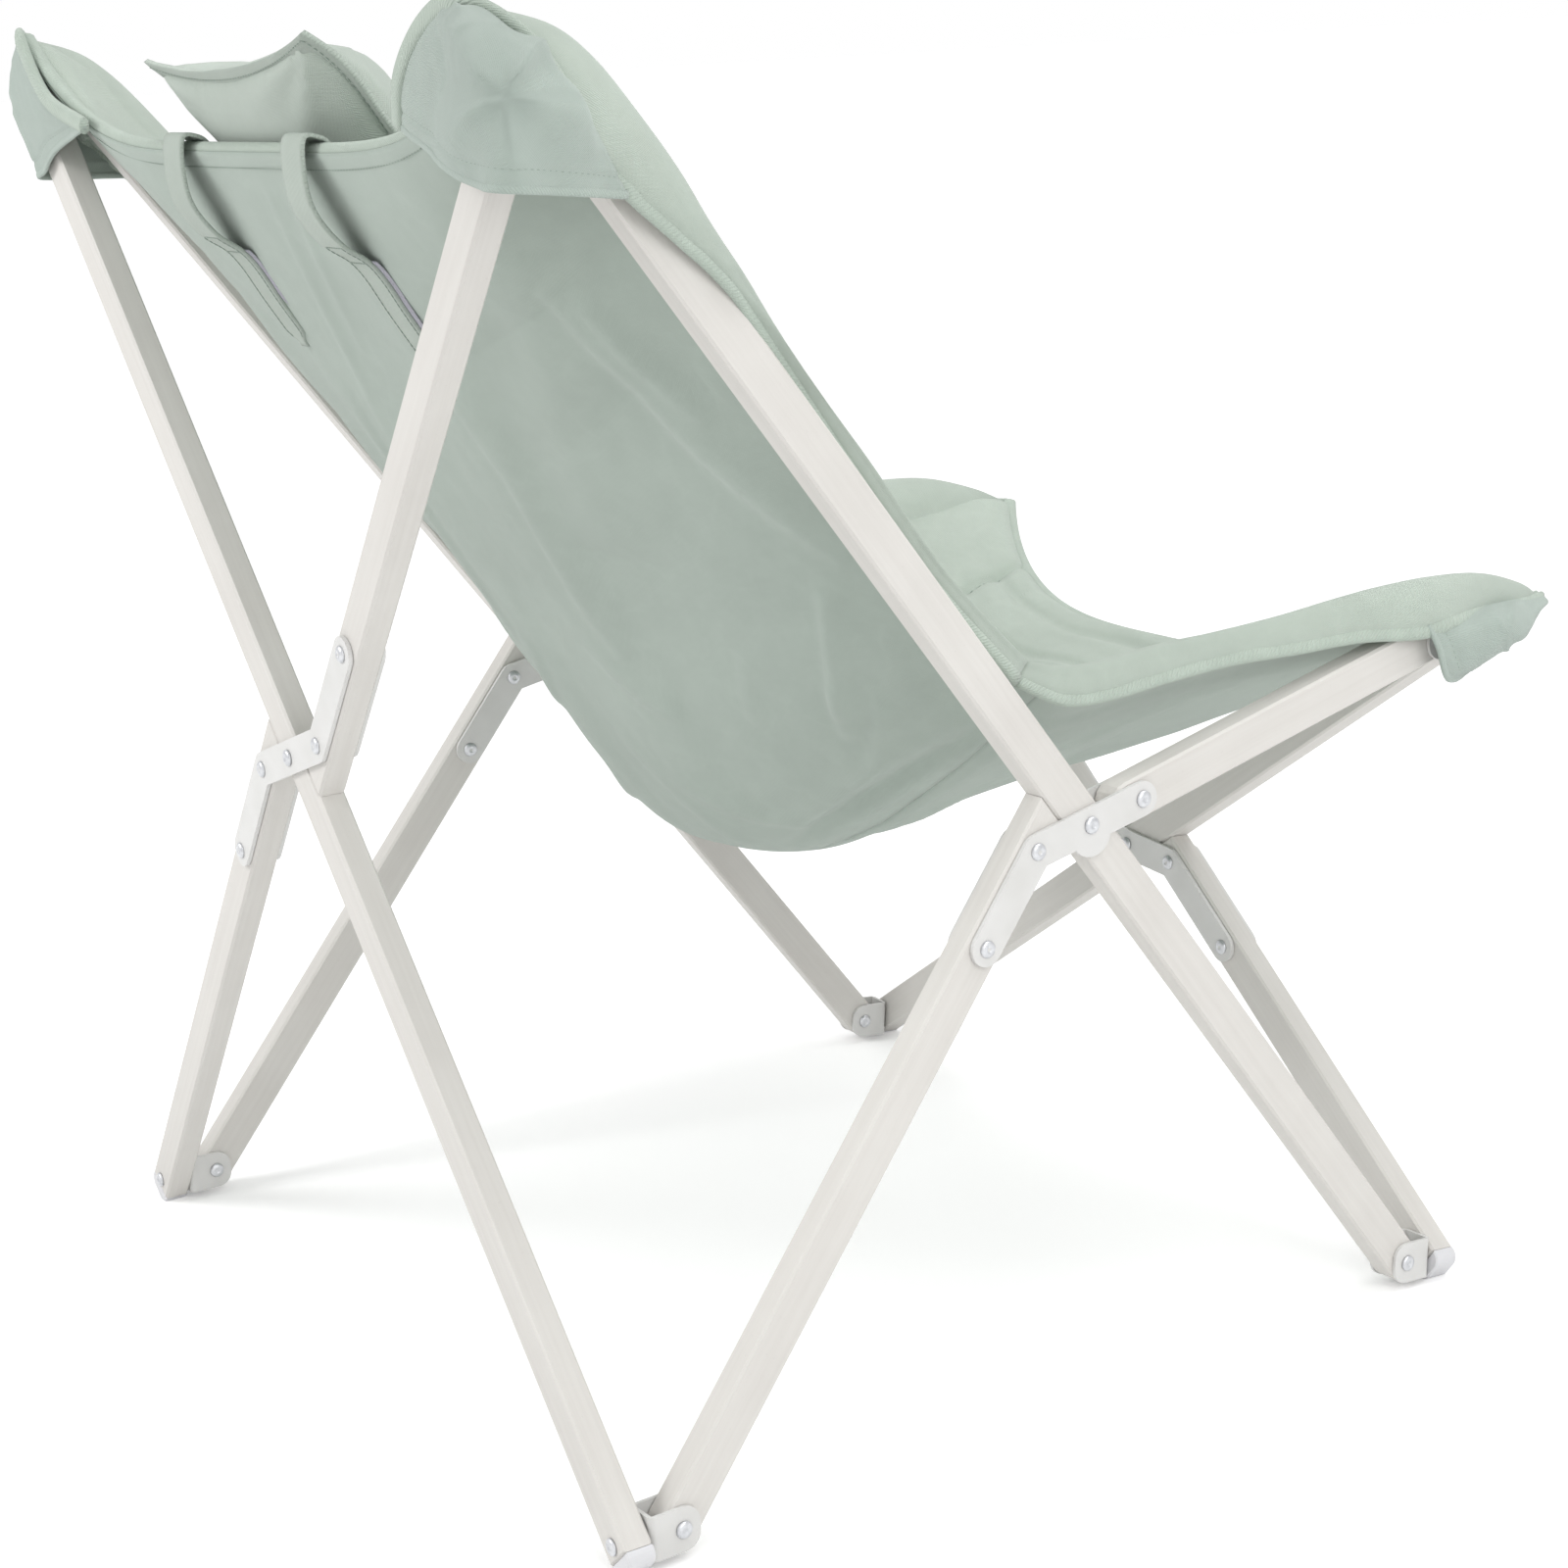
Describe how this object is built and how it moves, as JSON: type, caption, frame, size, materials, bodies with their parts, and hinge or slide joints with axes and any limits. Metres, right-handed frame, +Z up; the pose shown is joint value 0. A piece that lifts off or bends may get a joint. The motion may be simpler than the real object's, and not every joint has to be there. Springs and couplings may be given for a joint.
{
  "type": "folding butterfly chair",
  "caption": "Folding lounge chair with a scissor frame of painted wooden bars, a hanging fabric sling seat and a strapped head pillow.",
  "frame": {"origin": "on the floor, under the middle of the chair", "axes": "+Z up, +Y to the front of the seat, +X to the right seen from behind"},
  "size_m": [0.8116, 0.8394, 0.9101],
  "materials": {
    "bars": "satin paint",
    "brackets": "satin",
    "fasteners": "zinc plated",
    "caps": "matte",
    "sling": "woven canvas",
    "pillow": "cotton twill"
  },
  "bodies": {
    "rear_right_foot": {"rear_right_foot_yoke": "brackets", "rear_right_foot_pin": "fasteners", "rear_right_swivel_bolt": "fasteners"},
    "back_straight": {"back_straight_bar": "bars", "rear_right_foot_cap": "caps"},
    "back_split": {"back_lower_bar": "bars", "back_upper_bar": "bars", "back_plate_rear": "brackets", "back_plate_front": "brackets", "back_cross_bolt": "fasteners", "rear_left_foot_cap": "caps"},
    "rear_left_foot": {"rear_left_foot_yoke": "brackets", "rear_left_foot_pin": "fasteners", "rear_left_swivel_bolt": "fasteners"},
    "front_straight": {"front_straight_bar": "bars", "front_left_foot_cap": "caps", "front_left_swivel_bolt": "fasteners"},
    "front_split": {"front_lower_bar": "bars", "front_upper_bar": "bars", "front_plate_rear": "brackets", "front_plate_front": "brackets", "front_cross_bolt": "fasteners", "front_right_foot_cap": "caps", "front_right_swivel_bolt": "fasteners"},
    "sling_back": {"sling_back": "sling", "pillow": "pillow", "pillow_strap_right": "pillow", "pillow_strap_left": "pillow"},
    "sling_seat": {"sling_seat": "sling"},
    "right_lower": {"right_lower_bar": "bars", "right_plate_outer": "brackets", "right_plate_inner": "brackets", "right_cross_bolt": "fasteners", "right_arm_bolt": "fasteners"},
    "right_straight": {"right_straight_bar": "bars"},
    "right_seat_arm": {"right_seat_arm": "bars"},
    "top_right": {"top_right_yoke": "brackets", "top_right_pin": "fasteners"},
    "front_right_foot": {"front_right_foot_yoke": "brackets", "front_right_foot_pin": "fasteners"},
    "front_top_right": {"front_top_right_yoke": "brackets", "front_top_right_pin": "fasteners"},
    "left_lower": {"left_lower_bar": "bars", "left_plate_outer": "brackets", "left_plate_inner": "brackets", "left_cross_bolt": "fasteners", "left_arm_bolt": "fasteners"},
    "left_straight": {"left_straight_bar": "bars"},
    "left_seat_arm": {"left_seat_arm": "bars"},
    "top_left": {"top_left_yoke": "brackets", "top_left_pin": "fasteners"},
    "front_left_foot": {"front_left_foot_yoke": "brackets", "front_left_foot_pin": "fasteners"},
    "front_top_left": {"front_top_left_yoke": "brackets", "front_top_left_pin": "fasteners"}
  },
  "joints": [
    {"name": "fold", "type": "hinge", "parent": "rear_right_foot", "child": "back_straight", "pos_m": [0.37647, -0.38598, 0.01858], "axis": [0, 0.9999, 0.0139], "range_deg": [0, 21.9], "deforming": ["sling_back", "sling_seat", "pillow", "pillow_strap_right", "pillow_strap_left"]},
    {"name": "back_cross", "type": "hinge", "parent": "back_straight", "child": "back_split", "pos_m": [0, -0.39179, 0.436], "axis": [0, 0.9999, 0.0139], "range_deg": [-43.81, 0]},
    {"name": "rear_left_swivel", "type": "hinge", "parent": "back_split", "child": "rear_left_foot", "pos_m": [-0.37647, -0.38598, 0.01858], "axis": [0, 0.9999, 0.0139], "range_deg": [0, 21.91]},
    {"name": "right_rear_pin", "type": "hinge", "parent": "rear_right_foot", "child": "right_lower", "pos_m": [0.375, -0.353, 0.0204], "axis": [0.999, 0.0444, 0.0102], "range_deg": [0, 30.59]},
    {"name": "right_cross", "type": "hinge", "parent": "right_lower", "child": "right_straight", "pos_m": [0.35648, -0.02167, 0.39348], "axis": [0.999, 0.0444, 0.0102], "range_deg": [-56.14, 0]},
    {"name": "top_right_pin", "type": "hinge", "parent": "right_straight", "child": "top_right", "pos_m": [0.36699, -0.36463, 0.85596], "axis": [0.999, 0.0444, 0.0102], "range_deg": [0, 25.56]},
    {"name": "front_right_pin", "type": "hinge", "parent": "right_straight", "child": "front_right_foot", "pos_m": [0.348, 0.255, 0.0204], "axis": [0.999, 0.0444, 0.0102], "range_deg": [0, 25.44]},
    {"name": "right_arm", "type": "hinge", "parent": "right_lower", "child": "right_seat_arm", "pos_m": [0.35447, 0.02158, 0.40255], "axis": [0.999, 0.0444, 0.0102], "range_deg": [0, 21.05]},
    {"name": "front_top_right_pin", "type": "hinge", "parent": "right_seat_arm", "child": "front_top_right", "pos_m": [0.34184, 0.29161, 0.46527], "axis": [0.999, 0.0444, 0.0102], "range_deg": [-51.75, 0]},
    {"name": "front_swivel", "type": "hinge", "parent": "front_top_right", "child": "front_straight", "pos_m": [0.33264, 0.32472, 0.46527], "axis": [0, 0.9966, -0.082], "range_deg": [-32.22, 0]},
    {"name": "front_cross", "type": "hinge", "parent": "front_straight", "child": "front_split", "pos_m": [0, 0.30668, 0.246], "axis": [0, 0.9966, -0.082], "range_deg": [0, 64.43]},
    {"name": "left_rear_pin", "type": "hinge", "parent": "rear_left_foot", "child": "left_lower", "pos_m": [-0.375, -0.353, 0.0204], "axis": [0.999, -0.0444, -0.0102], "range_deg": [0, 30.59]},
    {"name": "left_cross", "type": "hinge", "parent": "left_lower", "child": "left_straight", "pos_m": [-0.35648, -0.02167, 0.39348], "axis": [0.999, -0.0444, -0.0102], "range_deg": [-56.14, 0]},
    {"name": "top_left_pin", "type": "hinge", "parent": "left_straight", "child": "top_left", "pos_m": [-0.36699, -0.36463, 0.85596], "axis": [0.999, -0.0444, -0.0102], "range_deg": [0, 25.56]},
    {"name": "front_left_pin", "type": "hinge", "parent": "left_straight", "child": "front_left_foot", "pos_m": [-0.348, 0.255, 0.0204], "axis": [0.999, -0.0444, -0.0102], "range_deg": [0, 25.44]},
    {"name": "left_arm", "type": "hinge", "parent": "left_lower", "child": "left_seat_arm", "pos_m": [-0.35447, 0.02158, 0.40255], "axis": [0.999, -0.0444, -0.0102], "range_deg": [0, 21.05]},
    {"name": "front_top_left_pin", "type": "hinge", "parent": "left_seat_arm", "child": "front_top_left", "pos_m": [-0.34184, 0.29161, 0.46527], "axis": [0.999, -0.0444, -0.0102], "range_deg": [-51.75, 0]},
    {"name": "sling_top", "type": "hinge", "parent": "top_right", "child": "sling_back", "pos_m": [0, -0.36463, 0.85596], "axis": [1, 0, 0], "range_deg": [-21.5, 0]},
    {"name": "sling_crease", "type": "hinge", "parent": "sling_back", "child": "sling_seat", "pos_m": [0, -0.032, 0.305], "axis": [1, 0, 0], "range_deg": [0, 57.47]}
  ],
  "couplings": [
    {"joint": "back_cross", "follows": "fold", "ratio": -2},
    {"joint": "rear_left_swivel", "follows": "fold", "ratio": 1},
    {"joint": "right_rear_pin", "follows": "fold", "ratio": 1.3964},
    {"joint": "right_cross", "follows": "fold", "ratio": -2.563},
    {"joint": "top_right_pin", "follows": "fold", "ratio": 1.1666},
    {"joint": "front_right_pin", "follows": "fold", "ratio": 1.1613},
    {"joint": "right_arm", "follows": "fold", "ratio": 0.96073},
    {"joint": "front_top_right_pin", "follows": "fold", "ratio": -2.3625},
    {"joint": "front_swivel", "follows": "fold", "ratio": -1.4707},
    {"joint": "front_cross", "follows": "fold", "ratio": 2.9415},
    {"joint": "left_rear_pin", "follows": "fold", "ratio": 1.3964},
    {"joint": "left_cross", "follows": "fold", "ratio": -2.563},
    {"joint": "top_left_pin", "follows": "fold", "ratio": 1.1666},
    {"joint": "front_left_pin", "follows": "fold", "ratio": 1.1613},
    {"joint": "left_arm", "follows": "fold", "ratio": 0.96073},
    {"joint": "front_top_left_pin", "follows": "fold", "ratio": -2.3625},
    {"joint": "sling_top", "follows": "fold", "ratio": -0.98133},
    {"joint": "sling_crease", "follows": "fold", "ratio": 2.6239}
  ]
}
